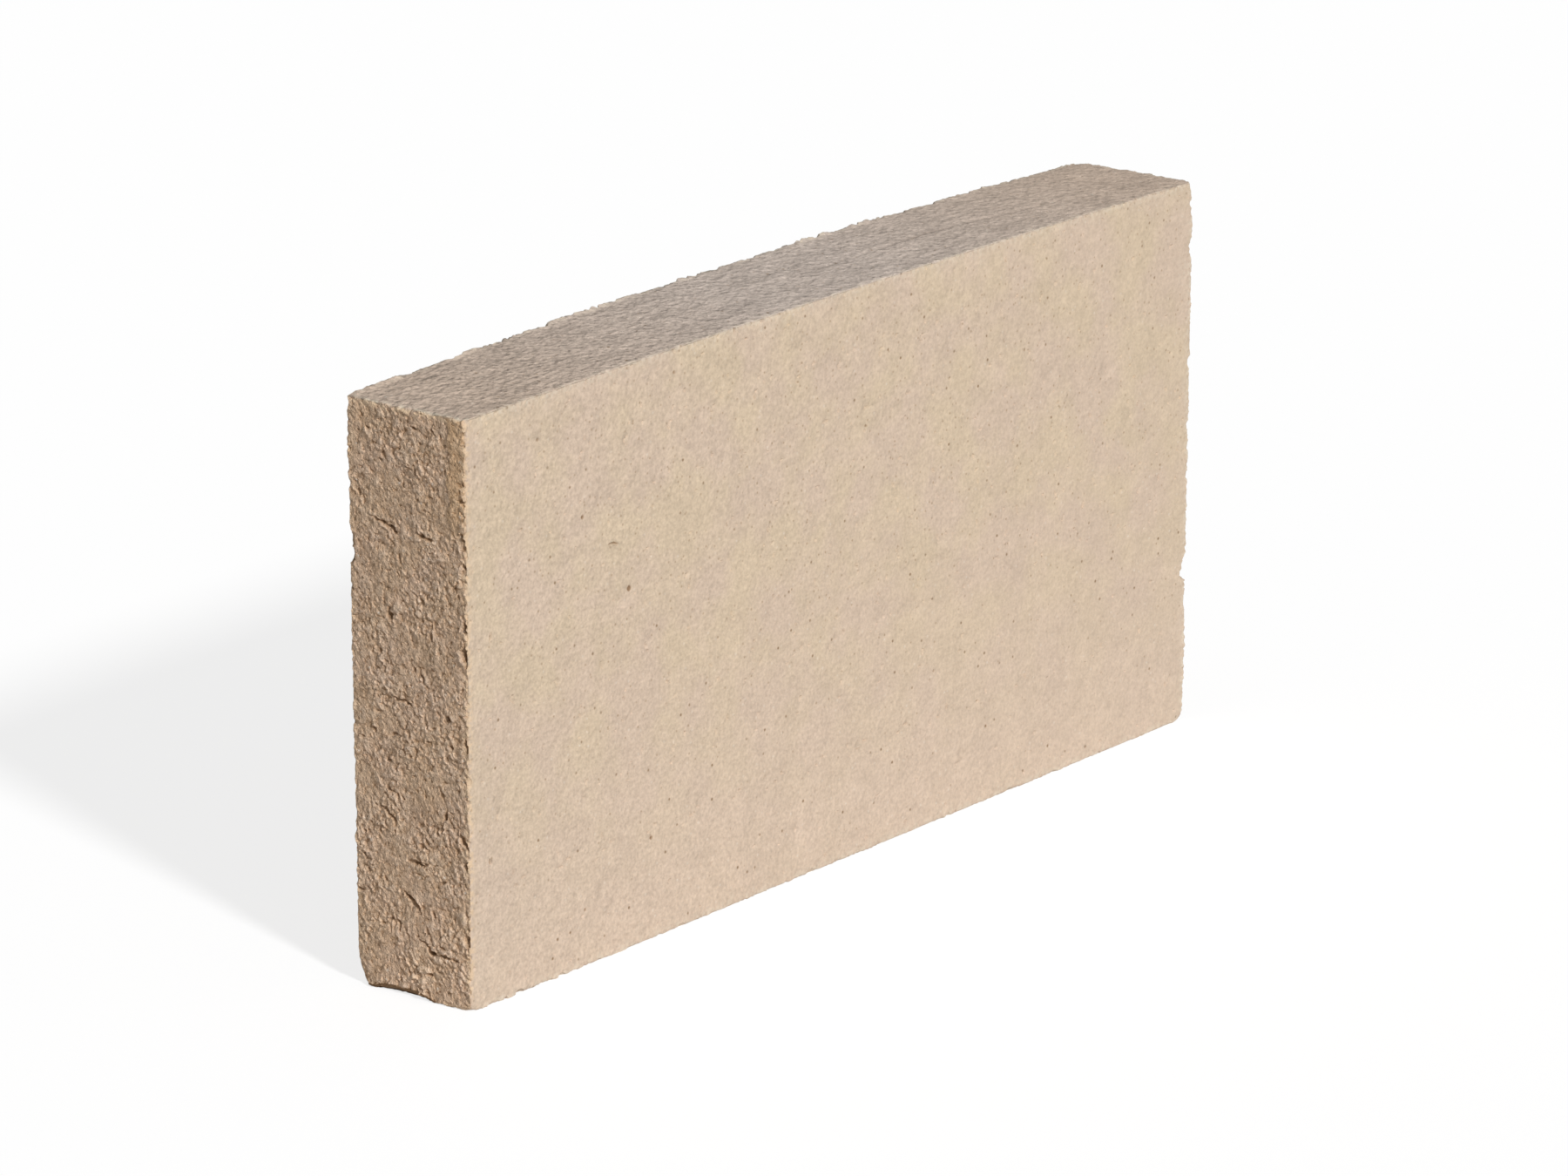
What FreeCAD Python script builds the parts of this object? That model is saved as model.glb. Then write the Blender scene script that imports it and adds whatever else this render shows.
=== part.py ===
import FreeCAD
import Part
import Sketcher
import os
from enum import IntEnum, auto

# Refractory firebrick, standing on its long narrow side.
# Frame: origin on the floor under the middle of the brick, +X along the length,
# +Y through the thickness from the front face to the back, +Z up. Millimetres.

NODE = "firebrick"

# Driving sizes: alias, value, meaning
SIZES = (
    ("brick_length", 250, "length between the two end faces"),
    ("brick_thickness", 30, "thickness between the two large faces"),
    ("brick_height", 124, "height of the two end faces"),
    ("top_crown", 1.5, "rise of the top face at mid length above its two ends"),
    ("arris_radius", 0.8, "rounding of every arris as fired"),
    ("spall_round", 4, "cross radius of a spall scooped out of an arris"),
    ("right_spall_height", 34, "right front arris spall, middle above the floor"),
    ("right_spall_length", 10, "right front arris spall, length along the arris"),
    ("right_spall_depth", 1.9, "right front arris spall, depth below the sharp arris"),
    ("left_spall_drop", 32, "left back arris spall, middle below the top of the end"),
    ("left_spall_length", 9, "left back arris spall, length along the arris"),
    ("left_spall_depth", 1.4, "left back arris spall, depth below the sharp arris"),
    ("top_spall_inset", 85, "top back arris spall, middle from the right end"),
    ("top_spall_length", 6, "top back arris spall, length along the arris"),
    ("top_spall_depth", 1.4, "top back arris spall, depth below the sharp arris"),
    ("back_corner_width", 2.6, "blunted left back foot corner, reach across each face"),
    ("back_corner_height", 5, "blunted left back foot corner, reach up the arris"),
    ("front_corner_width", 1.8, "blunted right front foot corner, reach across each face"),
    ("front_corner_height", 2.6, "blunted right front foot corner, reach up the arris"),
)

doc = FreeCAD.newDocument(NODE)
sheet = doc.addObject("Spreadsheet::Sheet", "Sizes")
for row, (alias, value, meaning) in enumerate(SIZES, start=1):
    sheet.set(f"A{row}", meaning)
    sheet.set(f"B{row}", str(value))
    sheet.setAlias(f"B{row}", alias)
doc.recompute()

body = doc.addObject("PartDesign::Body", "Brick")
body.Label = NODE


class Spot(IntEnum):
    """Points of a side in the outline, counted from its start."""
    START = auto()
    END = auto()


# Side outline: straight foot and ends under a top that bows up in one shallow arc
outline = body.newObject("Sketcher::SketchObject", "SideOutline")
side_plane = next(plane for plane in body.Origin.OriginFeatures if plane.Role == "XZ_Plane")
outline.AttachmentSupport = [(side_plane, "")]
outline.MapMode = "FlatFace"

half_length = sheet.brick_length / 2
foot_left = FreeCAD.Vector(-half_length, 0, 0)
foot_right = FreeCAD.Vector(half_length, 0, 0)
top_right = FreeCAD.Vector(half_length, sheet.brick_height, 0)
top_middle = FreeCAD.Vector(0, sheet.brick_height + sheet.top_crown, 0)
top_left = FreeCAD.Vector(-half_length, sheet.brick_height, 0)
foot = outline.addGeometry(Part.LineSegment(foot_left, foot_right))
right = outline.addGeometry(Part.LineSegment(foot_right, top_right))
top = outline.addGeometry(Part.Arc(top_right, top_middle, top_left))
left = outline.addGeometry(Part.LineSegment(top_left, foot_left))

sides = (foot, right, top, left)
for side, following in zip(sides, sides[1:] + sides[:1]):
    outline.addConstraint(Sketcher.Constraint("Coincident", side, Spot.END, following, Spot.START))
origin = (-1, Spot.START)
outline.addConstraint(Sketcher.Constraint("Symmetric", foot, Spot.START, foot, Spot.END, *origin))
outline.addConstraint(Sketcher.Constraint("Horizontal", foot))
outline.addConstraint(Sketcher.Constraint("Vertical", right))
outline.addConstraint(Sketcher.Constraint("Vertical", left))
outline.addConstraint(Sketcher.Constraint("Equal", left, right))

CROWN_RADIUS = "(Sizes.brick_length ^ 2 / 4 + Sizes.top_crown ^ 2) / (2 * Sizes.top_crown)"
driven = (
    ("foot_length", Sketcher.Constraint("Distance", foot, sheet.brick_length), "Sizes.brick_length"),
    ("end_height", Sketcher.Constraint("Distance", right, sheet.brick_height), "Sizes.brick_height"),
    ("top_radius", Sketcher.Constraint("Radius", top, outline.Geometry[top].Radius), CROWN_RADIUS),
)
for dimension, constraint, expression in driven:
    index = outline.addConstraint(constraint)
    outline.renameConstraint(index, dimension)
    outline.setExpression(f"Constraints.{dimension}", expression)
doc.recompute()

# The slab stands evenly on both sides of the outline's plane
slab = body.newObject("PartDesign::Pad", "Slab")
slab.Profile = outline
slab.SideType = "Symmetric"
slab.setExpression("Length", "Sizes.brick_thickness")
doc.recompute()

# Every arris of the slab is slightly rounded
arrises = body.newObject("PartDesign::Fillet", "Arrises")
arrises.Base = (slab, [f"Edge{number}" for number in range(1, len(slab.Shape.Edges) + 1)])
arrises.setExpression("Radius", "Sizes.arris_radius")
doc.recompute()

# Sides that the spalls bite into: position and outward sign
LEFT = ("-Sizes.brick_length / 2", "-")
RIGHT = ("Sizes.brick_length / 2", "+")
FRONT = ("-Sizes.brick_thickness / 2", "-")
BACK = ("Sizes.brick_thickness / 2", "+")
FOOT = ("0", "-")
ELLIPSOID_RADIUS = {"x": "Radius2", "y": "Radius3", "z": "Radius1"}


def scoop(name, centre, radii):
    """Cut an ellipsoid with its axes along the frame out of the brick."""
    whole = body.Shape.Volume
    cut = body.newObject("PartDesign::SubtractiveEllipsoid", name)
    for axis in "xyz":
        cut.setExpression(f"Placement.Base.{axis}", centre[axis])
        cut.setExpression(ELLIPSOID_RADIUS[axis], radii[axis])
    doc.recompute()
    if not body.Shape.Volume < whole:
        raise RuntimeError(f"{name} takes nothing away")


def arris_spall(name, size, sides, along, middle):
    """Scoop a spall out of the arris where two sides meet, its length running along the third axis."""
    depth = f"Sizes.{size}_depth"
    standoff = f"(Sizes.spall_round - {depth}) / sqrt(2)"
    stretch = f"Sizes.spall_round / sqrt({depth} * (2 * Sizes.spall_round - {depth}))"
    centre = {along: middle}
    radii = {along: f"Sizes.{size}_length / 2 * {stretch}"}
    for axis, (position, outward) in sides.items():
        centre[axis] = f"{position} {outward} {standoff}"
        radii[axis] = "Sizes.spall_round"
    scoop(name, centre, radii)


def foot_corner(name, size, sides):
    """Blunt a foot corner with an ellipsoid that meets its arrises at the stated width and height."""
    centre = {}
    radii = {}
    for axis, (position, outward) in sides.items():
        reach = f"Sizes.{size}_height" if axis == "z" else f"Sizes.{size}_width"
        centre[axis] = f"{position} {outward} {reach}"
        radii[axis] = f"{reach} * sqrt(6)"
    scoop(name, centre, radii)


LEFT_SPALL_HEIGHT = "Sizes.brick_height - Sizes.left_spall_drop"
TOP_SPALL_ALONG = "Sizes.brick_length / 2 - Sizes.top_spall_inset"
TOP_AT_SPALL = (
    f"Sizes.brick_height + Sizes.top_crown - {CROWN_RADIUS}"
    f" + sqrt(({CROWN_RADIUS}) ^ 2 - ({TOP_SPALL_ALONG}) ^ 2)",
    "+",
)
arris_spall("RightSpall", "right_spall", {"x": RIGHT, "y": FRONT}, "z", "Sizes.right_spall_height")
arris_spall("LeftSpall", "left_spall", {"x": LEFT, "y": BACK}, "z", LEFT_SPALL_HEIGHT)
arris_spall("TopSpall", "top_spall", {"y": BACK, "z": TOP_AT_SPALL}, "x", TOP_SPALL_ALONG)
foot_corner("BackCorner", "back_corner", {"x": LEFT, "y": BACK, "z": FOOT})
foot_corner("FrontCorner", "front_corner", {"x": RIGHT, "y": FRONT, "z": FOOT})

for feature in doc.Objects:
    if "Invalid" in feature.State or "Error" in feature.State:
        raise RuntimeError(f"{feature.Name} did not compute: {feature.State}")
for feature in body.Group:
    if feature.Shape.isNull() or not feature.Shape.isValid():
        raise RuntimeError(f"{feature.Name} has no valid shape")
if len(body.Shape.Solids) != 1:
    raise RuntimeError("the brick is not one solid")

os.makedirs("parts", exist_ok=True)
body.Shape.exportStep(f"parts/{NODE}.step")
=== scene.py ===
import itertools
import math

import bpy
import numpy as np
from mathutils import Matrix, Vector


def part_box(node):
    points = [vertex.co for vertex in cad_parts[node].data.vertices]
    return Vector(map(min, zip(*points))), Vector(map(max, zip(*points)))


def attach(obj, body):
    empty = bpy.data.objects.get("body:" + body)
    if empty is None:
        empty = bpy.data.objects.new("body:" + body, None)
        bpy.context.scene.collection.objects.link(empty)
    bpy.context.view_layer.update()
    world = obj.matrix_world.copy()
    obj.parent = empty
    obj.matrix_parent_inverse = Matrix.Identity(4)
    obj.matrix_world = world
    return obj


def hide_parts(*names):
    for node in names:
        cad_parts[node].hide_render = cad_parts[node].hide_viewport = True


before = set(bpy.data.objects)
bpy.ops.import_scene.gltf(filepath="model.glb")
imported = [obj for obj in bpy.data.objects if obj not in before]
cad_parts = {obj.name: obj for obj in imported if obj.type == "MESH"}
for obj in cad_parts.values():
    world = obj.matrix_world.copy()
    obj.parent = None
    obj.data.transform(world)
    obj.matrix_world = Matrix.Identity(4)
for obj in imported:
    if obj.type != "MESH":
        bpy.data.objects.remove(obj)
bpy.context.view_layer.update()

# Shapes are worked out in millimetres and scaled to metres when the mesh is made
MM = 0.001
SEED = 7

# Overall sizes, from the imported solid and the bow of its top
box_low, box_high = (np.array(corner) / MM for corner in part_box("firebrick"))
CAD_CROWN = 1.5
HALF_LENGTH = (box_high[0] - box_low[0]) / 2
HALF_THICKNESS = (box_high[1] - box_low[1]) / 2
END_HEIGHT = box_high[2] - CAD_CROWN
HALF_SIZE = np.array([HALF_LENGTH, HALF_THICKNESS, END_HEIGHT / 2])
MIDDLE = np.array([0.0, 0.0, END_HEIGHT / 2])

# Rise of the top arrises at mid length, and of the left end above the middle
FRONT_CROWN = 1.1
BACK_CROWN = 2.2
LEFT_RISE = 0.25

# Sides of the brick: axis number and outward sign
LEFT = (0, -1)
RIGHT = (0, 1)
FRONT = (1, -1)
BACK = (1, 1)
FOOT = (2, -1)
TOP = (2, 1)

# Swelling of the sides towards the top, and as much drawn in at the foot
FLARE = 0.27

# How far the front face stands out beyond the nominal thickness
FRONT_EXCESS = 0.25

# Each arris: its two sides, rounding, raggedness, chips in 100 mm of its length and the deepest of them
ARRISES = (
    (FRONT, TOP, 0.25, 0.6, 14, 0.5),
    (BACK, TOP, 0.30, 1.0, 35, 0.8),
    (FRONT, FOOT, 0.60, 0.8, 16, 0.5),
    (BACK, FOOT, 0.90, 0.7, 14, 0.6),
    (LEFT, FRONT, 0.20, 1.0, 55, 0.6),
    (LEFT, BACK, 0.25, 0.8, 35, 0.5),
    (RIGHT, FRONT, 0.30, 0.9, 20, 0.9),
    (RIGHT, BACK, 0.30, 0.8, 25, 0.6),
    (LEFT, TOP, 0.25, 1.4, 80, 0.6),
    (RIGHT, TOP, 0.40, 1.0, 50, 0.6),
    (LEFT, FOOT, 0.70, 1.0, 40, 0.5),
    (RIGHT, FOOT, 0.80, 1.0, 40, 0.6),
)

# Stretches of the front foot arris that kept a sharp edge: start and end from the left, and their rounding
SHARP_FEET = ((4.0, 13.5), (28.5, 31.0), (46.0, 50.0))
SHARP_FOOT_RADIUS = 0.1

# Spalls and larger chips: centre and half sizes of the ellipsoid that is missing, and how much painted shade
# darkens its hollow
SPALLS = (
    ((126.9, -16.9, 34.3), (4.7, 4.7, 2.2), 0.1),
    ((127.3, -17.3, 36.4), (4.6, 4.6, 4.4), 0.1),
    ((126.9, -16.7, 68.5), (3.2, 3.2, 2.0), 0.1),
    ((127.2, -16.8, 109.2), (4.0, 4.0, 3.6), 0.1),
    ((127.0, -16.7, 119.2), (3.8, 3.8, 1.4), 0.1),
    ((127.6, -17.2, 78.5), (3.6, 3.6, 3.2), 0.1),
    ((-127.0, 16.9, 91.2), (4.0, 4.0, 3.2), 0.9),
    ((-127.3, 17.2, 94.0), (4.2, 4.2, 4.2), 0.8),
    ((-126.9, 16.9, 70.0), (2.8, 2.8, 2.6), 0.4),
    ((-126.8, 16.7, 52.0), (2.6, 2.6, 2.0), 0.4),
    ((-126.6, 16.6, 20.9), (2.4, 2.4, 1.3), 0.4),
    ((36.3, 17.4, 127.5), (3.4, 4.0, 4.0), 0.1),
    ((-126.2, 3.4, -0.9), (3.6, 10.2, 2.3), 3.0),
    ((-125.0, 3.8, -0.5), (0.6, 10.2, 2.3), 3.0),
    ((-109.4, -16.2, -0.6), (2.2, 2.4, 1.9), 0.1),
)

# Worn corners: the corner's signs, the direction it is worn from and the depth taken off
WORN_CORNERS = (
    ((-1, 1, -1), (-1.0, 1.1, -0.55), 1.8),
    ((-1, -1, -1), (-0.8, -0.8, -1.0), 0.9),
    ((1, -1, -1), (1.0, -0.8, -1.0), 0.95),
    ((1, 1, 1), (0.8, 1.0, 0.5), 1.5),
    ((1, -1, 1), (1.0, -0.9, 0.35), 0.9),
)
WEAR_SOFTNESS = 0.5

# Cracks torn into the left end: points as (across, up), then width and depth
END_CRACKS = (
    (((-1.2, 120.7), (-3.5, 119.5), (-4.9, 118.8)), 0.30, 0.7),
    (((9.3, 100.4), (5.9, 99.2), (1.4, 97.6)), 0.35, 0.9),
    (((-1.8, 99.1), (-2.8, 98.4), (-6.8, 97.5)), 0.30, 0.8),
    (((5.3, 82.0), (5.1, 80.6), (4.4, 78.9)), 0.50, 1.0),
    (((-2.9, 85.7), (-3.7, 84.0)), 0.35, 0.6),
    (((-1.9, 70.5), (-2.7, 69.2), (-4.5, 65.9)), 0.35, 0.9),
    (((4.7, 62.9), (0.1, 62.6), (-0.3, 61.7)), 0.30, 0.8),
    (((-9.2, 61.3), (-10.6, 60.8)), 0.60, 0.8),
    (((10.1, 56.0), (8.7, 55.1)), 0.35, 0.6),
    (((5.3, 55.2), (2.5, 55.5)), 0.30, 0.5),
    (((0.7, 55.2), (-2.1, 55.0)), 0.30, 0.5),
    (((6.7, 49.9), (5.6, 50.0)), 0.45, 0.6),
    (((5.4, 45.7), (3.8, 45.2)), 0.35, 0.7),
    (((7.8, 39.7), (4.4, 37.1), (4.2, 34.0)), 0.35, 0.7),
    (((-9.3, 42.6), (-8.2, 39.2), (-7.5, 37.2)), 0.30, 0.7),
    (((1.4, 29.1), (-4.0, 29.2)), 0.30, 0.8),
    (((-0.5, 26.7), (-4.3, 26.8)), 0.30, 0.5),
    (((2.4, 22.6), (-1.0, 20.0), (-1.7, 18.3)), 0.40, 0.9),
    (((6.6, 16.1), (3.9, 15.2), (3.8, 13.6)), 0.35, 0.8),
    (((-1.4, 12.8), (-3.7, 12.1), (-4.8, 10.5), (-8.6, 10.8), (-11.7, 10.2)), 0.40, 1.1),
    (((-2.4, 6.3), (-4.7, 5.8)), 0.60, 0.6),
    (((15.0, 20.8), (13.2, 20.6)), 0.35, 0.8),
    (((-13.2, 110.9), (-14.6, 110.6)), 0.45, 1.0),
    (((-13.4, 107.9), (-14.7, 107.3)), 0.45, 1.1),
    (((-13.6, 100.5), (-14.1, 98.4), (-14.6, 96.5)), 0.52, 1.3),
    (((-14.1, 94.4), (-14.5, 93.0)), 0.50, 1.1),
    (((-14.0, 82.2), (-14.2, 79.4)), 0.48, 1.2),
    (((-13.9, 77.5), (-14.1, 75.2), (-14.7, 72.8)), 0.55, 1.5),
    (((-13.9, 58.0), (-14.1, 55.8), (-14.7, 53.6)), 0.55, 1.5),
    (((-12.5, 37.6), (-13.6, 36.0), (-14.6, 34.5)), 0.60, 1.5),
    (((-14.1, 32.0), (-14.3, 29.9)), 0.48, 1.2),
    (((-14.0, 21.5), (-14.6, 19.8)), 0.35, 0.8),
    (((-14.1, 16.5), (-14.3, 13.4)), 0.48, 1.2),
)

# Flakes standing proud of the left end: place as (across, up), half sizes and rise
END_FLAKES = (
    ((-2.6, 6.7), (1.9, 0.8), 0.7),
    ((0.2, 4.6), (0.8, 0.7), 0.5),
    ((-2.1, 4.2), (1.0, 0.8), 0.5),
    ((2.8, 82.0), (1.4, 1.1), 0.5),
    ((-13.2, 19.6), (1.0, 1.6), 0.5),
)

# Pressed lip along the near arris of the left end: where it starts across, its lower end and its rise
LIP_ACROSS = -10.4
LIP_LOWER_END = 94.0
LIP_RISE = 0.25

# Hair marks on the front face: points as (along, up), then width and depth
FRONT_MARKS = (
    (((-80.3, 87.8), (-78.6, 87.7), (-76.9, 87.1)), 0.20, 0.8),
    (((-118.0, 76.4), (-117.7, 78.4)), 0.28, 0.8),
    (((-119.0, 31.3), (-118.2, 29.7)), 0.28, 0.9),
    (((-38.9, 124.4), (-38.5, 122.8)), 0.30, 0.8),
)

# Iron dots on the front face: place as (along, up), then radius and strength of the stain
FRONT_DOTS = (
    ((-73.4, 76.9), 0.62, 1.5),
    ((-88.4, 95.4), 0.50, 1.0),
    ((-66.4, 21.9), 0.50, 1.0),
    ((-102.5, 114.8), 0.45, 0.8),
    ((-58.6, 118.9), 0.45, 0.8),
    ((-88.2, 12.2), 0.45, 0.8),
    ((31.0, 34.0), 0.42, 0.7),
)

# Share of an iron dot's stain that is a real hollow
DOT_HOLLOW = 0.3

# Crease pressed into the top: points as (along, across), then width and depth
CREASE_LINE = ((-12.0, -0.2), (24.0, -0.6), (48.0, 0.6), (74.0, -2.0), (102.0, -6.0), (114.0, -6.8))
TOP_CREASE = (CREASE_LINE, 0.6, 0.22)

# Burr left standing on the back top arris: its stretches along the length, its width and its rise
BURRS = ((-124, -108), (-92, -84), (-62, -33), (-20, -15), (22, 33), (39.5, 46.5))
BURR_WIDTH = 1.5
BURR_RISE = 0.4

# Lie of the drag marks on the ends, as an angle from the vertical, and how drawn out they are
DRAG_ANGLE = math.radians(30)
DRAG_STRETCH = 1.5

# Nearness from which a point counts as close to an arris
NEAR_ARRIS = 0.002

# Grid of the fine surface: step along each axis, and the closer step in a band beside every arris
GRID_STEPS = (0.38, 0.25, 0.25)
EDGE_STEP = 0.25
EDGE_BAND = 2.0

# Short cracks scattered over the left end, beside those placed above, and over the right end
LEFT_SCATTER = 70
RIGHT_SCATTER = 110

# Triangles left after thinning, and the angle from which an edge between them stays crisp
TRIANGLES = 196_000
CREASE_ANGLE = math.radians(32)


def gradient_table():
    """Random unit vectors for the gradient noise."""
    vectors = np.random.default_rng(SEED).normal(size=(256, 3))
    return vectors / np.linalg.norm(vectors, axis=1, keepdims=True)


GRADIENTS = gradient_table()
HASH_PRIMES = np.array([73856093, 19349663, 83492791])


def hashed(cells, layer):
    """Whole number that looks random for every cell of a grid; each layer has its own."""
    mixed = cells * HASH_PRIMES[:cells.shape[1]]
    return (np.bitwise_xor.reduce(mixed, axis=1) ^ (layer * 2654435761)) >> 4


def noise(points, size, layer):
    """Gradient noise of about -1 to 1, with features of the given size; each layer is a field of its own."""
    scaled = points / size
    cell = np.floor(scaled).astype(np.int64)
    local = scaled - cell
    fade = local**3 * (local * (local * 6 - 15) + 10)
    total = np.zeros(len(points))
    for corner in itertools.product((0, 1), repeat=3):
        pick = hashed(cell + corner, layer)
        weight = np.prod(np.where(corner, fade, 1 - fade), axis=1)
        total += weight * np.einsum("ij,ij->i", GRADIENTS[pick & 255], local - corner)
    return total * 1.7


def facets(flat, size, layer):
    """Broken facets of about the given size, each with a level and a tilt of its own, of about -1 to 1."""
    scaled = flat / size
    cell = np.floor(scaled).astype(np.int64)
    nearest = np.full(len(flat), np.inf)
    height = np.zeros(len(flat))
    for step in itertools.product((-1, 0, 1), repeat=2):
        pick = hashed(cell + step, layer)
        offset = scaled - cell - step - 0.5 - 0.45 * GRADIENTS[pick & 255, :2]
        distance = np.einsum("ij,ij->i", offset, offset)
        lie = GRADIENTS[pick >> 8 & 255]
        level = 0.5 * lie[:, 2] + 1.5 * np.einsum("ij,ij->i", lie[:, :2], offset)
        height = np.where(distance < nearest, level, height)
        nearest = np.minimum(distance, nearest)
    return height


def smoothstep(low, high, value):
    """Smooth ramp from 0 at low to 1 at high."""
    t = np.clip((value - low) / (high - low), 0, 1)
    return t * t * (3 - 2 * t)


def graded(half, step, edge_step, edge_band):
    """Grid lines from -half to half, close together near both ends."""
    edge = np.arange(0, edge_band, edge_step)
    inner = half - edge_band
    middle = np.linspace(-inner, inner, round(2 * inner / step) + 1)
    return np.concatenate([-half + edge, middle, half - edge[::-1]])


def box_shell(lines):
    """Points and quads of a closed box surface over three lists of grid lines."""
    shape = tuple(len(line) for line in lines)
    shell = np.ones(shape, bool)
    shell[1:-1, 1:-1, 1:-1] = False
    index = np.full(shape, -1, np.int64)
    index[shell] = np.arange(shell.sum())
    places = np.argwhere(shell)
    points = np.column_stack([line[places[:, axis]] for axis, line in enumerate(lines)])
    quads = []
    for axis in range(3):
        for side in (0, -1):
            sheet = index.take(side, axis=axis)
            ring = [sheet[:-1, :-1], sheet[1:, :-1], sheet[1:, 1:], sheet[:-1, 1:]]
            if (side == -1) == (axis == 1):
                ring.reverse()
            quads.append(np.stack(ring, axis=-1).reshape(-1, 4))
    return points, np.concatenate(quads)


def arris_distance(points, side_a, side_b):
    """Distance of each point, taken from the brick's middle, to the line where two sides meet."""
    gaps = [HALF_SIZE[axis] - sign * points[:, axis] for axis, sign in (side_a, side_b)]
    return np.hypot(*gaps)


def round_arrises(points):
    """Round every arris by its own radius; returns the points and their outward normals."""
    share = np.full(len(points), 1e-6)
    radius = share * 0.8
    from_left = points[:, 0] + HALF_LENGTH
    for side_a, side_b, arris_radius, _, _, _ in ARRISES:
        weight = np.exp(-((arris_distance(points, side_a, side_b) / 3.0) ** 2))
        if (side_a, side_b) == (FRONT, FOOT):
            for start, end in SHARP_FEET:
                kept = smoothstep(start - 3, start, from_left) * smoothstep(end + 1, end, from_left)
                arris_radius = arris_radius + (SHARP_FOOT_RADIUS - arris_radius) * kept
        share += weight
        radius += weight * arris_radius
    radius = (radius / share)[:, None]
    radius *= 1 + 0.3 * noise(points, 6.0, 1)[:, None]
    core = HALF_SIZE - radius
    inner = np.clip(points, -core, core)
    normal = points - inner
    normal /= np.linalg.norm(normal, axis=1, keepdims=True)
    return inner + radius * normal, normal


def roughen_arrises(points, normal):
    """Roughen the arrises in calm and rough stretches; returns how near an arris each point is."""
    nearness = np.zeros(len(points))
    for side_a, side_b, _, ragged, _, _ in ARRISES:
        distance = arris_distance(points, side_a, side_b)
        nearness = np.maximum(nearness, ragged * np.exp(-((distance / 1.2) ** 2)))
    near = np.flatnonzero(nearness > NEAR_ARRIS)
    stretch = np.clip(0.55 + 1.2 * noise(points[near], 9.0, 2), 0.1, 1.3)
    rough = stretch * (0.26 * noise(points[near], 1.3, 3) + 0.20 * noise(points[near], 0.7, 4))
    points[near] += normal[near] * (rough * nearness[near])[:, None]
    return nearness


def arris_chips(rng):
    """Small ellipsoids that bite into the arrises, as centres and half sizes about the brick's middle."""
    chips = []
    for side_a, side_b, radius, _, per_100, deepest in ARRISES:
        along = 3 - side_a[0] - side_b[0]
        for _ in range(round(per_100 * HALF_SIZE[along] / 50)):
            size = rng.uniform(0.5, 1.6)
            depth = 0.41 * radius + deepest * rng.uniform(0.2, 1.0) ** 2
            lean = rng.uniform(0.35, 1.2)
            centre = np.empty(3)
            radii = np.full(3, size)
            centre[along] = rng.uniform(-1, 1) * HALF_SIZE[along]
            radii[along] *= rng.uniform(0.7, 1.6)
            for (axis, sign), share in ((side_a, math.cos(lean)), (side_b, math.sin(lean))):
                centre[axis] = sign * (HALF_SIZE[axis] + (size - depth) * share)
            chips.append((centre, radii))
    return chips


def scoop(points, picked, centre, radii):
    """Push picked points out of an ellipsoid onto its rough surface; returns them and how far they went."""
    offset = (points[picked] - centre) / radii
    reach = np.linalg.norm(offset, axis=1)
    inside = reach < 1
    chosen = picked[inside]
    rough = 1 + 0.08 * noise(points[chosen], 0.9, 5)
    push = offset[inside] * (rough / reach[inside] - 1)[:, None] * radii
    points[chosen] += push
    return chosen, np.linalg.norm(push, axis=1)


def wear_corner(points, signs, direction, depth):
    """Take a soft bevel off one corner."""
    direction = np.array(direction) / np.linalg.norm(direction)
    corner = HALF_SIZE * signs
    over = (points - corner) @ direction + depth
    over += 0.15 * noise(points, 3.0, 6) + 0.12 * noise(points, 1.2, 7)
    points -= direction * (WEAR_SOFTNESS * np.logaddexp(0, over / WEAR_SOFTNESS))[:, None]


def segment_distance(flat, start, end):
    """Distance of flat points to a segment, and how far along it they lie."""
    run = end - start
    along = np.clip((flat - start) @ run / (run @ run), 0, 1)
    return np.linalg.norm(flat - start - along[:, None] * run, axis=1), along


def crack_depth(flat, line, width, depth):
    """Groove along a line of points with slightly raised lips, tapering out at both ends."""
    line = np.array(line)
    lengths = np.linalg.norm(np.diff(line, axis=0), axis=1)
    walked = np.concatenate([[0], np.cumsum(lengths)])
    nearest = np.full(len(flat), np.inf)
    share = np.zeros(len(flat))
    for number, (start, end) in enumerate(zip(line[:-1], line[1:])):
        distance, along = segment_distance(flat, start, end)
        closer = distance < nearest
        nearest[closer] = distance[closer]
        share[closer] = (walked[number] + along[closer] * lengths[number]) / walked[-1]
    taper = np.sqrt(np.clip(4 * share * (1 - share), 0.15, 1))
    across = nearest / (width * taper)
    return depth * taper * (np.exp(-(across**2)) - 0.15 * np.exp(-((across - 2.2) ** 2)))


def carve(flat, lines):
    """Depth that a set of cracks takes out of flat points."""
    total = np.zeros(len(flat))
    for line, width, depth in lines:
        low = np.min(line, axis=0) - 2
        high = np.max(line, axis=0) + 2
        close = np.flatnonzero(np.all((flat > low) & (flat < high), axis=1))
        total[close] += crack_depth(flat[close], line, width, depth)
    return total


def random_cracks(rng, count):
    """Short cracks scattered over an end, most of them lying along the drag marks."""
    cracks = []
    for _ in range(count):
        middle = np.array([rng.uniform(-13, 13), rng.uniform(4, END_HEIGHT - 4)])
        angle = DRAG_ANGLE + rng.normal(0, 0.5)
        half = rng.uniform(0.4, 1.5) * np.array([math.sin(angle), math.cos(angle)])
        bend = rng.normal(0, 0.25, 2)
        line = (middle - half, middle + bend, middle + half)
        cracks.append((line, rng.uniform(0.2, 0.35), rng.uniform(0.2, 0.55)))
    return cracks


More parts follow.
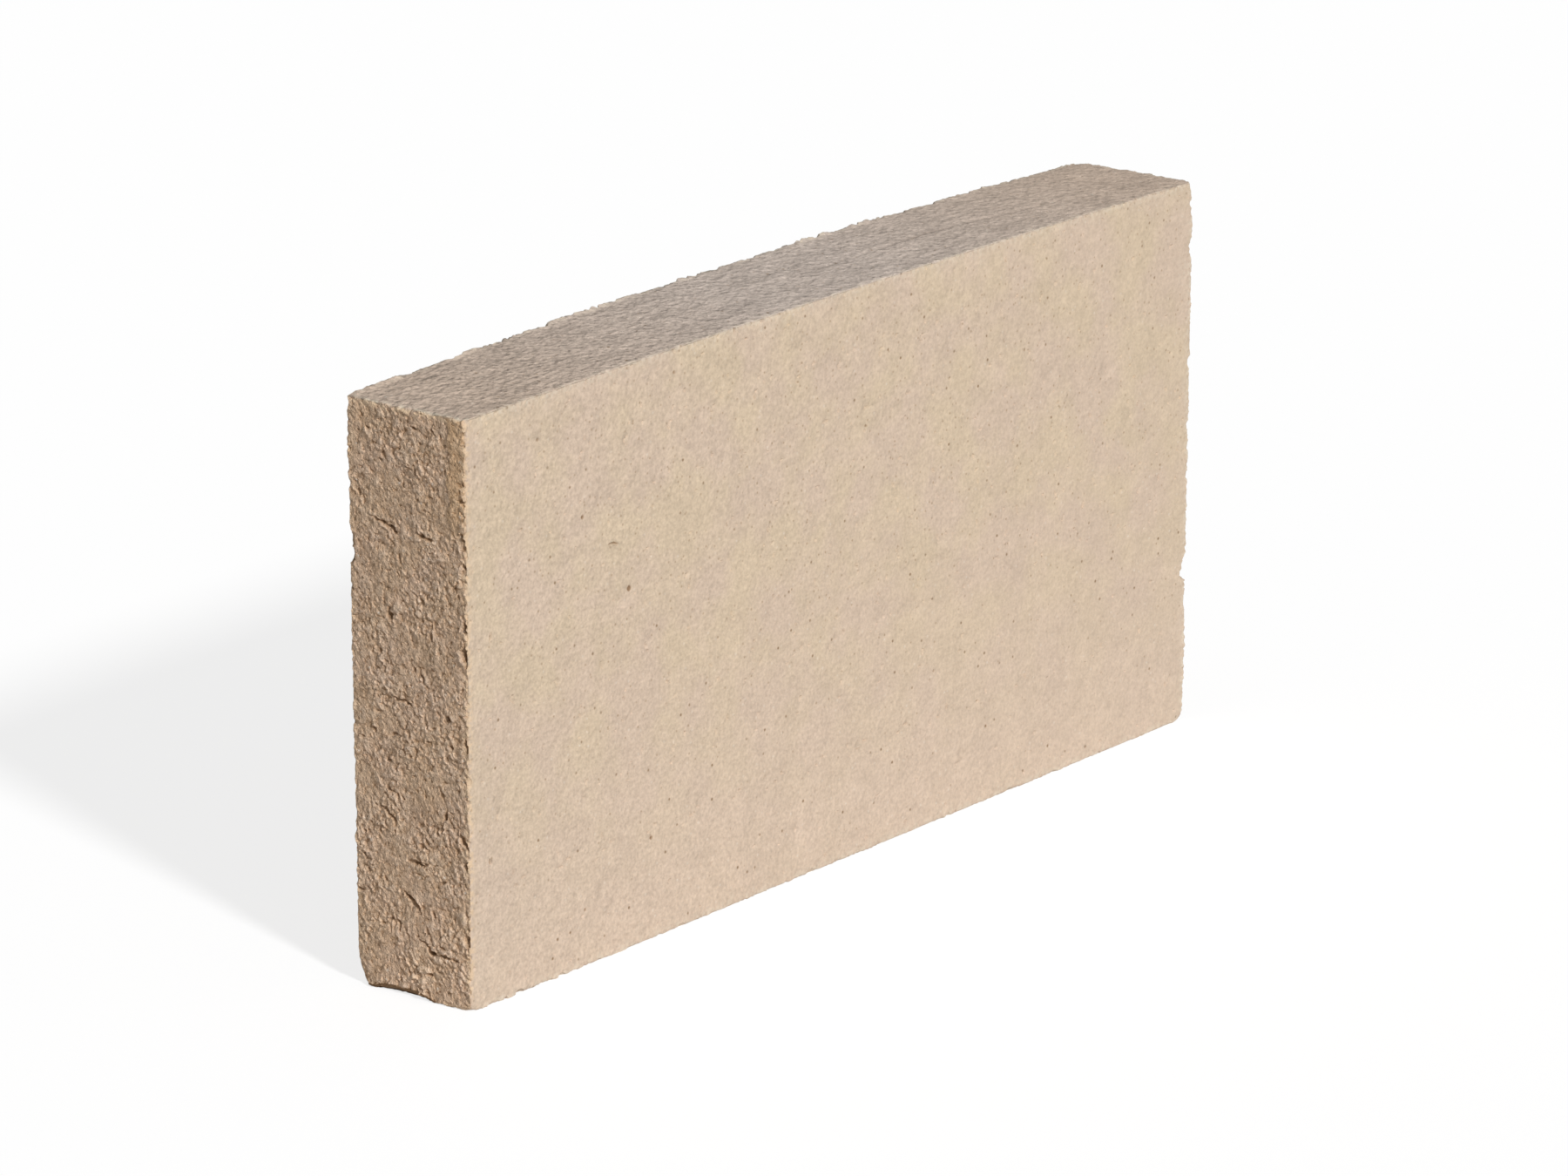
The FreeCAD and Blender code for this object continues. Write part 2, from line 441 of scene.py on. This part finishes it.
def end_relief(points, cracks):
    """Torn clay of an end face: drag marks, grit, plucked grains and cracks."""
    cos, sin = math.cos(DRAG_ANGLE), math.sin(DRAG_ANGLE)
    along = points[:, 1] * sin + points[:, 2] * cos
    across = points[:, 1] * cos - points[:, 2] * sin
    dragged = np.column_stack([points[:, 0], across, along / DRAG_STRETCH])
    wander = np.column_stack([noise(points, 1.2, 16), noise(points, 1.2, 17)]) * 0.45
    torn = dragged[:, 1:] + wander
    small_facets = facets(torn, 0.9, 41) * 0.14
    small_drags = np.abs(noise(dragged, 1.2, 12)) * 0.15
    grit = noise(points, 0.7, 13) * 0.19
    calmer_above = 1.08 - 0.22 * points[:, 2] / END_HEIGHT
    patches = np.clip(1.0 + 0.9 * noise(points, 8.0, 27), 0.5, 1.4)
    relief = (small_facets + small_drags + grit) * (calmer_above * patches)
    large_facets = facets(torn, 1.9, 40) * 0.12
    large_drags = np.abs(noise(dragged, 2.6, 11)) * 0.12
    mean_rise = 0.09
    relief += large_facets + large_drags - mean_rise
    plucked = smoothstep(0.40, 0.60, noise(points, 1.0, 15)) * 0.25
    relief -= plucked
    broken = np.clip(0.75 + noise(points, 1.4, 19), 0.2, 1.2)
    return relief - broken * carve(points[:, 1:] + wander, cracks)


def flake_relief(points):
    """Share of the flakes on the left end, and how far they stand out."""
    total = np.zeros(len(points))
    rise = np.zeros(len(points))
    for place, half_sizes, height in END_FLAKES:
        reach = np.linalg.norm((points[:, 1:] - place) / half_sizes, axis=1)
        reach += 0.2 * noise(points, 0.9, 42)
        dome = np.clip(1 - reach**2, 0, 1)
        total = np.maximum(total, dome)
        rise = np.maximum(rise, height * np.sqrt(dome))
    return total, rise


def lip_band(points):
    """Share of the pressed band beside the near arris of the left end."""
    wander = 1.2 * noise(points, 4.0, 18) + 0.5 * noise(points, 1.2, 24)
    band = smoothstep(LIP_ACROSS + 0.4, LIP_ACROSS - 0.4, points[:, 1] + wander)
    return band * smoothstep(LIP_LOWER_END, LIP_LOWER_END + 12, points[:, 2])


def top_relief(points):
    """Sandy top with faint swells along the length and one long crease."""
    stretched = points * np.array([0.35, 1.0, 1.0])
    swells = noise(stretched, 4.5, 20) * 0.12
    sand = noise(points, 1.5, 21) * 0.08
    fine_sand = noise(points, 0.9, 22) * 0.05
    relief = swells + sand + fine_sand
    wander = np.column_stack([np.zeros(len(points)), noise(points, 5.0, 23)]) * 0.5
    return relief - carve(points[:, :2] + wander, (TOP_CREASE,))


def burr_rise(points):
    """Height of the ragged burr on the back top arris."""
    inside = HALF_THICKNESS - points[:, 1]
    ridge = smoothstep(BURR_WIDTH, 0.5, inside + 0.4 * noise(points, 2.0, 25))
    stretches = np.zeros(len(points))
    for start, end in BURRS:
        share = smoothstep(start - 1.5, start + 1.5, points[:, 0])
        stretches += share * smoothstep(end + 1.5, end - 1.5, points[:, 0])
    return BURR_RISE * ridge * stretches


def bed_relief(points):
    """Nearly flat large faces with faint swells and scattered pits."""
    pits = smoothstep(0.66, 0.86, noise(points, 1.3, 32)) * 0.32
    broad_swells = noise(points, 28.0, 30) * 0.08
    swells = noise(points, 7.0, 31) * 0.03
    return broad_swells + swells - pits


def dot_stains(flat):
    """Strength of the iron dots' stain on flat points of the front face."""
    total = np.zeros(len(flat))
    for place, radius, stain in FRONT_DOTS:
        distance = np.linalg.norm(flat - place, axis=1)
        total += stain * np.exp(-((distance / radius) ** 4))
    return total


def rounded_shell(rng):
    """Points, quads, outward normals and arris nearness of a box with worn arrises and corners."""
    lines = [graded(half, step, EDGE_STEP, EDGE_BAND) for half, step in zip(HALF_SIZE, GRID_STEPS)]
    points, quads = box_shell(lines)
    points, normal = round_arrises(points)
    nearness = roughen_arrises(points, normal)
    near_arris = np.flatnonzero(nearness > NEAR_ARRIS)
    for centre, radii in arris_chips(rng):
        scoop(points, near_arris, centre, radii)
    for signs, direction, depth in WORN_CORNERS:
        wear_corner(points, signs, direction, depth)
    points += MIDDLE
    return points, quads, normal, nearness


def bend(points):
    """Bow the top, flare the sides, fill out the front and lift the left end, with the foot on the floor."""
    across = 0.5 + points[:, 1] / (2 * HALF_THICKNESS)
    crown = FRONT_CROWN + (BACK_CROWN - FRONT_CROWN) * across
    bow = crown * (1 - (points[:, 0] / HALF_LENGTH) ** 2)
    lean = FLARE * (2 * points[:, 2:] / END_HEIGHT - 1)
    points[:, :2] *= 1 + lean / HALF_SIZE[:2]
    points[:, 1] -= FRONT_EXCESS * (1 - across)
    rise = bow - LEFT_RISE * points[:, 0] / HALF_LENGTH
    points[:, 2] += rise * points[:, 2] / END_HEIGHT
    points[:, 2] = np.maximum(points[:, 2], 0)


def brick_surface():
    """Points and quads of the whole brick, the layers of values that colour it and its marked points."""
    rng = np.random.default_rng(SEED)
    points, quads, normal, nearness = rounded_shell(rng)

    # Relief is height that also colours the clay: painted shade in its hollows, painted light on its raised
    # parts and the iron dots' real stain; swell is height alone
    facing = normal**2
    relief = np.zeros(len(points))
    swell = np.zeros(len(points))
    lip = np.zeros(len(points))

    # Both ends
    left_cracks = list(END_CRACKS) + random_cracks(rng, LEFT_SCATTER)
    right_cracks = random_cracks(rng, RIGHT_SCATTER)
    for sign, cracks in ((-1, left_cracks), (1, right_cracks)):
        picked = np.flatnonzero((facing[:, 0] > 0.01) & (normal[:, 0] * sign > 0))
        relief[picked] += facing[picked, 0] * end_relief(points[picked], cracks)
        swell[picked] += facing[picked, 0] * noise(points[picked], 7.0, 10) * 0.28
    picked = np.flatnonzero(normal[:, 0] < -0.1)
    lip[picked] = facing[picked, 0] * lip_band(points[picked])
    flake, rise = flake_relief(points[picked])
    relief[picked] += facing[picked, 0] * rise
    # The flakes also get the pale rim colour, partly painted light on their edges
    nearness[picked] += facing[picked, 0] * flake

    # Both large faces, and the marks of the front
    picked = np.flatnonzero(facing[:, 1] > 0.01)
    swell[picked] += facing[picked, 1] * bed_relief(points[picked])
    on_front = normal[:, 1] < -0.9
    picked = np.flatnonzero(on_front)
    flat = points[picked][:, [0, 2]]
    stains = dot_stains(flat)
    relief[picked] -= carve(flat, FRONT_MARKS)
    relief[picked] -= stains
    swell[picked] += (1 - DOT_HOLLOW) * stains

    # The top
    picked = np.flatnonzero(normal[:, 2] > 0.1)
    relief[picked] += facing[picked, 2] * top_relief(points[picked])
    swell[picked] += facing[picked, 2] * burr_rise(points[picked])

    points += normal * (relief + swell + LIP_RISE * lip)[:, None]
    everything = np.arange(len(points))
    # The spalls' hollows get painted shade through the relief
    for centre, radii, spall_shade in SPALLS:
        chosen, pushed = scoop(points, everything, np.array(centre), np.array(radii))
        relief[chosen] -= spall_shade * pushed
    bend(points)
    on_top = np.where(normal[:, 2] > 0, facing[:, 2], 0)
    layers = {"on_end": facing[:, 0], "on_top": on_top, "relief": relief, "lip": lip, "rim": nearness}
    marked = np.flatnonzero(on_front & (relief < -0.02))
    return points, quads, layers, marked


def brick_object(material):
    """The dressed brick: the fine surface thinned to a mesh of moderate size."""
    points, quads, layers, marked = brick_surface()
    fine = bpy.data.meshes.new("firebrick_fine")
    fine.from_pydata(points * MM, [], quads, shade_flat=False)
    for name, values in layers.items():
        fine.attributes.new(name, "FLOAT", "POINT").data.foreach_set("value", values)
    brick = bpy.data.objects.new("firebrick_dressed", fine)
    bpy.context.scene.collection.objects.link(brick)
    brick.vertex_groups.new(name="marks").add(marked.tolist(), 1.0, "REPLACE")
    thin = brick.modifiers.new("thin", "DECIMATE")
    thin.ratio = TRIANGLES / (2 * len(quads))
    thin.vertex_group = "marks"
    thin.invert_vertex_group = True
    graph = bpy.context.evaluated_depsgraph_get()
    thinned = bpy.data.meshes.new_from_object(brick.evaluated_get(graph))
    brick.modifiers.clear()
    brick.vertex_groups.clear()
    brick.data = thinned
    bpy.data.meshes.remove(fine)
    thinned.name = "firebrick_dressed"
    thinned.set_sharp_from_angle(angle=CREASE_ANGLE)
    thinned.materials.clear()
    thinned.materials.append(material)
    return brick


def add_node(tree, kind, inputs, **settings):
    """Shader node with its settings and its inputs, each a value or a socket to link."""
    node = tree.nodes.new(kind)
    for name, value in settings.items():
        setattr(node, name, value)
    for name, value in inputs.items():
        if isinstance(value, bpy.types.NodeSocket):
            tree.links.new(value, node.inputs[name])
        else:
            node.inputs[name].default_value = value
    return node


def fireclay_material():
    """Fired clay: sandy beige with mottling and specks; browner on the torn ends with painted warm bounce
    light, greyer on top with painted cool light from above, and painted shade and light by the height of the
    relief.
    """
    material = bpy.data.materials.new("fireclay")
    material.use_nodes = True
    tree = material.node_tree
    shader = tree.nodes["Principled BSDF"]
    place = tree.nodes.new("ShaderNodeTexCoord").outputs["Object"]
    drag_turn = (-DRAG_ANGLE, 0.0, 0.0)
    drag_scale = (1.0, 1.0, DRAG_STRETCH)
    drag_inputs = {"Vector": place, "Rotation": drag_turn, "Scale": drag_scale}
    dragged = add_node(tree, "ShaderNodeMapping", drag_inputs, vector_type="TEXTURE").outputs["Vector"]

    def texture(size_mm, detail=2.0, roughness=0.5, vector=place):
        inputs = {"Vector": vector, "Scale": 1 / (size_mm * MM), "Detail": detail, "Roughness": roughness}
        return add_node(tree, "ShaderNodeTexNoise", inputs).outputs["Fac"]

    def remap(value, low, high, to_low=0.0, to_high=1.0):
        inputs = {"Value": value, "From Min": low, "From Max": high, "To Min": to_low, "To Max": to_high}
        return add_node(tree, "ShaderNodeMapRange", inputs).outputs["Result"]

    def blend(factor, first, second, kind="MIX"):
        inputs = {0: factor, 6: first, 7: second}
        return add_node(tree, "ShaderNodeMix", inputs, data_type="RGBA", blend_type=kind).outputs[2]

    def maths(operation, *values):
        return add_node(tree, "ShaderNodeMath", dict(enumerate(values)), operation=operation).outputs[0]

    def billow(size_mm, height_mm, vector=place):
        centred = maths("MULTIPLY_ADD", texture(size_mm, 1.0, 0.5, vector), 2 * height_mm, -height_mm)
        return maths("ABSOLUTE", centred)

    def layer(name):
        return add_node(tree, "ShaderNodeAttribute", {}, attribute_name=name).outputs["Fac"]

    def flecks(spacing_mm, size_mm, strength):
        inputs = {"Vector": place, "Scale": 1 / (spacing_mm * MM)}
        cells = add_node(tree, "ShaderNodeTexVoronoi", inputs).outputs
        near = remap(cells["Distance"], size_mm / spacing_mm, 0.4 * size_mm / spacing_mm, 0.0, strength)
        return maths("MULTIPLY", near, cells["Color"])

    def crevices(size_mm, width_mm):
        swirl_inputs = {"Vector": place, "Scale": 1 / (1.2 * MM), "Detail": 2.0}
        swirl = add_node(tree, "ShaderNodeTexNoise", swirl_inputs).outputs["Color"]
        warp_inputs = {0: swirl, 1: (MM, MM, MM), 2: dragged}
        warped = add_node(tree, "ShaderNodeVectorMath", warp_inputs, operation="MULTIPLY_ADD").outputs[0]
        cell_inputs = {"Vector": warped, "Scale": 1 / (size_mm * MM)}
        cells = add_node(tree, "ShaderNodeTexVoronoi", cell_inputs, feature="DISTANCE_TO_EDGE").outputs
        return remap(cells["Distance"], 0.5 * width_mm / size_mm, 0.2 * width_mm / size_mm)

    on_end = layer("on_end")
    on_top = layer("on_top")
    relief = layer("relief")
    axes = add_node(tree, "ShaderNodeSeparateXYZ", {"Vector": place}).outputs
    along = axes["X"]
    from_middle = maths("ABSOLUTE", along)
    grainy = remap(along, -0.1, 0.12, 1.0, 0.6)
    top_grain = maths("MULTIPLY", on_top, grainy)

    beige = blend(remap(texture(16, 3), 0.40, 0.60), (0.650, 0.520, 0.378, 1), (0.644, 0.507, 0.394, 1))
    beige = blend(remap(axes["Z"], 0.055, 0.015, 0.0, 0.8), beige, (0.652, 0.516, 0.404, 1))
    # Browner colour of the ends: painted warm bounce light inside their rough torn surface
    torn = blend(remap(texture(9, 3), 0.4, 0.62), (0.670, 0.486, 0.338, 1), (0.650, 0.472, 0.341, 1))
    torn = blend(layer("lip"), torn, (0.68, 0.47, 0.295, 1))
    # Greyer colour of the top: painted cool light from above
    painted_cool_top = blend(remap(from_middle, 0.02, 0.11), (0.655, 0.555, 0.483, 1), (0.655, 0.520, 0.416, 1))
    colour = blend(on_top, beige, painted_cool_top)
    colour = blend(on_end, colour, torn)
    for factor, size_mm, detail, swing in (
        (grainy, 0.8, 3.0, 0.15),
        (1.0, 3.5, 2.0, 0.04),
        (1.0, 9.0, 3.0, 0.03),
        (top_grain, 1.3, 3.0, 0.21),
        (on_top, 8.0, 3.0, 0.07),
        (on_end, 0.6, 2.0, 0.24),
    ):
        shade = remap(texture(size_mm, detail, 0.6), 0.3, 0.7, 1 - swing, 1 + swing)
        colour = blend(factor, colour, shade, "MULTIPLY")
    # Painted shade in the ends' hollows, warm and dark, and painted light on their raised parts, pale and
    # cool
    painted_shade_and_light_by_height = blend(remap(relief, -0.30, 0.30), (0.80, 0.73, 0.645, 1), (1.165, 1.21, 1.255, 1))
    colour = blend(on_end, colour, painted_shade_and_light_by_height, "MULTIPLY")
    # Painted bounce light from the floor: the ends lighter over their lowest 40 mm
    colour = blend(on_end, colour, remap(axes["Z"], 0.0, 0.04, 1.09, 1.0), "MULTIPLY")
    # Painted light: raised parts of the ends made paler
    proud = maths("MULTIPLY", on_end, remap(relief, 0.05, 0.30, 0.0, 0.4))
    colour = blend(proud, colour, (0.74, 0.565, 0.43, 1))
    # Painted shade in the hollows and the crease of the top
    colour = blend(on_top, colour, remap(relief, -0.30, 0.04, 0.74, 1.02), "MULTIPLY")
    colour = blend(flecks(1.9, 0.36, 0.85), colour, (0.40, 0.28, 0.18, 1))
    colour = blend(flecks(4.6, 0.45, 1.4), colour, (0.30, 0.20, 0.12, 1))
    colour = blend(flecks(2.7, 0.38, 0.9), colour, (0.80, 0.72, 0.62, 1))
    # Painted shade: a dark network of fine crevices on the ends
    crevice_shade = maths("MULTIPLY", crevices(1.5, 0.16), remap(texture(2.5, 2), 0.47, 0.57, 0.0, 0.55))
    colour = blend(maths("MULTIPLY", crevice_shade, on_end), colour, (0.29, 0.165, 0.08, 1))
    # Pale crumbs along the arrises and on the flakes, partly painted light caught on these edges
    crumbs_and_edge_light = maths("MULTIPLY", layer("rim"), remap(texture(1.1, 2), 0.46, 0.56, 0.0, 0.95))
    pale_crumb_and_edge_light = (0.74, 0.64, 0.51, 1)
    crumb_and_edge_light = blend(remap(along, -0.121, -0.124), pale_crumb_and_edge_light, (0.78, 0.58, 0.39, 1))
    crumb_and_edge_light = blend(on_top, crumb_and_edge_light, pale_crumb_and_edge_light)
    colour = blend(crumbs_and_edge_light, colour, crumb_and_edge_light)
    # Dark brown where the relief is low: painted shade in cracks, hair marks and spalls, and the real stain
    # of the iron dots
    hollow_shade_and_stain = remap(relief, -0.18, -0.9, 0.0, 0.8)
    colour = blend(hollow_shade_and_stain, colour, (0.21, 0.11, 0.045, 1))
    tree.links.new(colour, shader.inputs["Base Color"])

    shader.inputs["Roughness"].default_value = 0.92
    shader.inputs["Specular IOR Level"].default_value = 0.2

    height = maths("MULTIPLY", texture(1.5, 3, 0.5), 0.36)
    height = maths("MULTIPLY_ADD", texture(3.2, 2, 0.5), 0.55, height)
    height = maths("MULTIPLY", height, grainy)
    height = maths("MULTIPLY_ADD", texture(1.6, 2, 0.5), maths("MULTIPLY", top_grain, 0.70), height)
    for size_mm, height_mm, vector in ((1.1, 0.25, dragged), (0.6, 0.26, place)):
        height = maths("MULTIPLY_ADD", billow(size_mm, height_mm, vector), on_end, height)
    bump = add_node(tree, "ShaderNodeBump", {"Height": height, "Strength": 1.0, "Distance": MM})
    tree.links.new(bump.outputs["Normal"], shader.inputs["Normal"])
    return material


def seen_directly(tree):
    """1 on rays that show the surround itself: straight to the camera, mirrored or through glass."""
    path = tree.nodes.new("ShaderNodeLightPath").outputs
    seen = path["Is Camera Ray"]
    for name in ("Is Glossy Ray", "Is Transmission Ray"):
        seen = add_node(tree, "ShaderNodeMath", {0: seen, 1: path[name]}, operation="MAXIMUM").outputs[0]
    return seen


def floor_object():
    """Pale floor that looks white and keeps a light shadow of the brick."""
    material = bpy.data.materials.new("floor")
    material.use_nodes = True
    tree = material.node_tree
    tree.nodes.clear()
    bounce = add_node(tree, "ShaderNodeBsdfDiffuse", {"Color": (0.75, 0.75, 0.75, 1)}).outputs[0]
    paint = add_node(tree, "ShaderNodeBsdfDiffuse", {"Color": (0.34, 0.34, 0.34, 1)}).outputs[0]
    lift = add_node(tree, "ShaderNodeEmission", {"Color": (0.77, 0.77, 0.77, 1), "Strength": 1.0}).outputs[0]
    white = add_node(tree, "ShaderNodeAddShader", {0: paint, 1: lift}).outputs[0]
    surface = add_node(tree, "ShaderNodeMixShader", {0: seen_directly(tree), 1: bounce, 2: white}).outputs[0]
    add_node(tree, "ShaderNodeOutputMaterial", {"Surface": surface})
    half = 6.0
    mesh = bpy.data.meshes.new("floor")
    corners = [(-half, -half, 0), (half, -half, 0), (half, half, 0), (-half, half, 0)]
    mesh.from_pydata(corners, [], [(0, 1, 2, 3)])
    mesh.materials.append(material)
    floor = bpy.data.objects.new("floor", mesh)
    bpy.context.scene.collection.objects.link(floor)
    return floor


def studio_light():
    """One soft key light from the front and above, and an even pale surround."""
    key = bpy.data.lights.new("key", "SUN")
    key.energy = 2.51
    key.angle = math.radians(6)
    lamp = bpy.data.objects.new("key", key)
    towards_light = Vector((-0.30, -0.80, 0.52))
    lamp.rotation_euler = towards_light.to_track_quat("Z", "Y").to_euler()
    bpy.context.scene.collection.objects.link(lamp)

    world = bpy.data.worlds.new("studio")
    world.use_nodes = True
    tree = world.node_tree
    strength_inputs = {"Value": seen_directly(tree), "To Min": 0.237, "To Max": 1.0}
    strength = add_node(tree, "ShaderNodeMapRange", strength_inputs)
    tree.links.new(strength.outputs["Result"], tree.nodes["Background"].inputs["Strength"])
    tree.nodes["Background"].inputs["Color"].default_value = (1, 1, 1, 1)
    bpy.context.scene.world = world


def photo_camera():
    """Camera at the photograph's angle, with the lens that fits the brick's corners there."""
    azimuth, elevation = math.radians(-52.387), math.radians(16.607)
    distance = 1.8267
    look_at = Vector((0.01165, 0.01051, 0.05272))
    focal_pixels, image_width = 9810.5, 1800
    away = Vector((
        math.sin(azimuth) * math.cos(elevation),
        -math.cos(azimuth) * math.cos(elevation),
        math.sin(elevation),
    ))
    data = bpy.data.cameras.new("camera")
    data.sensor_width = 36.0
    data.lens = focal_pixels / image_width * data.sensor_width
    camera = bpy.data.objects.new("camera", data)
    camera.location = look_at + away * distance
    camera.rotation_euler = away.to_track_quat("Z", "Y").to_euler()
    bpy.context.scene.collection.objects.link(camera)
    bpy.context.scene.camera = camera


brick = brick_object(fireclay_material())
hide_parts("firebrick")
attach(brick, "root")
floor_object()
studio_light()
photo_camera()
bpy.context.scene.view_settings.view_transform = "Standard"
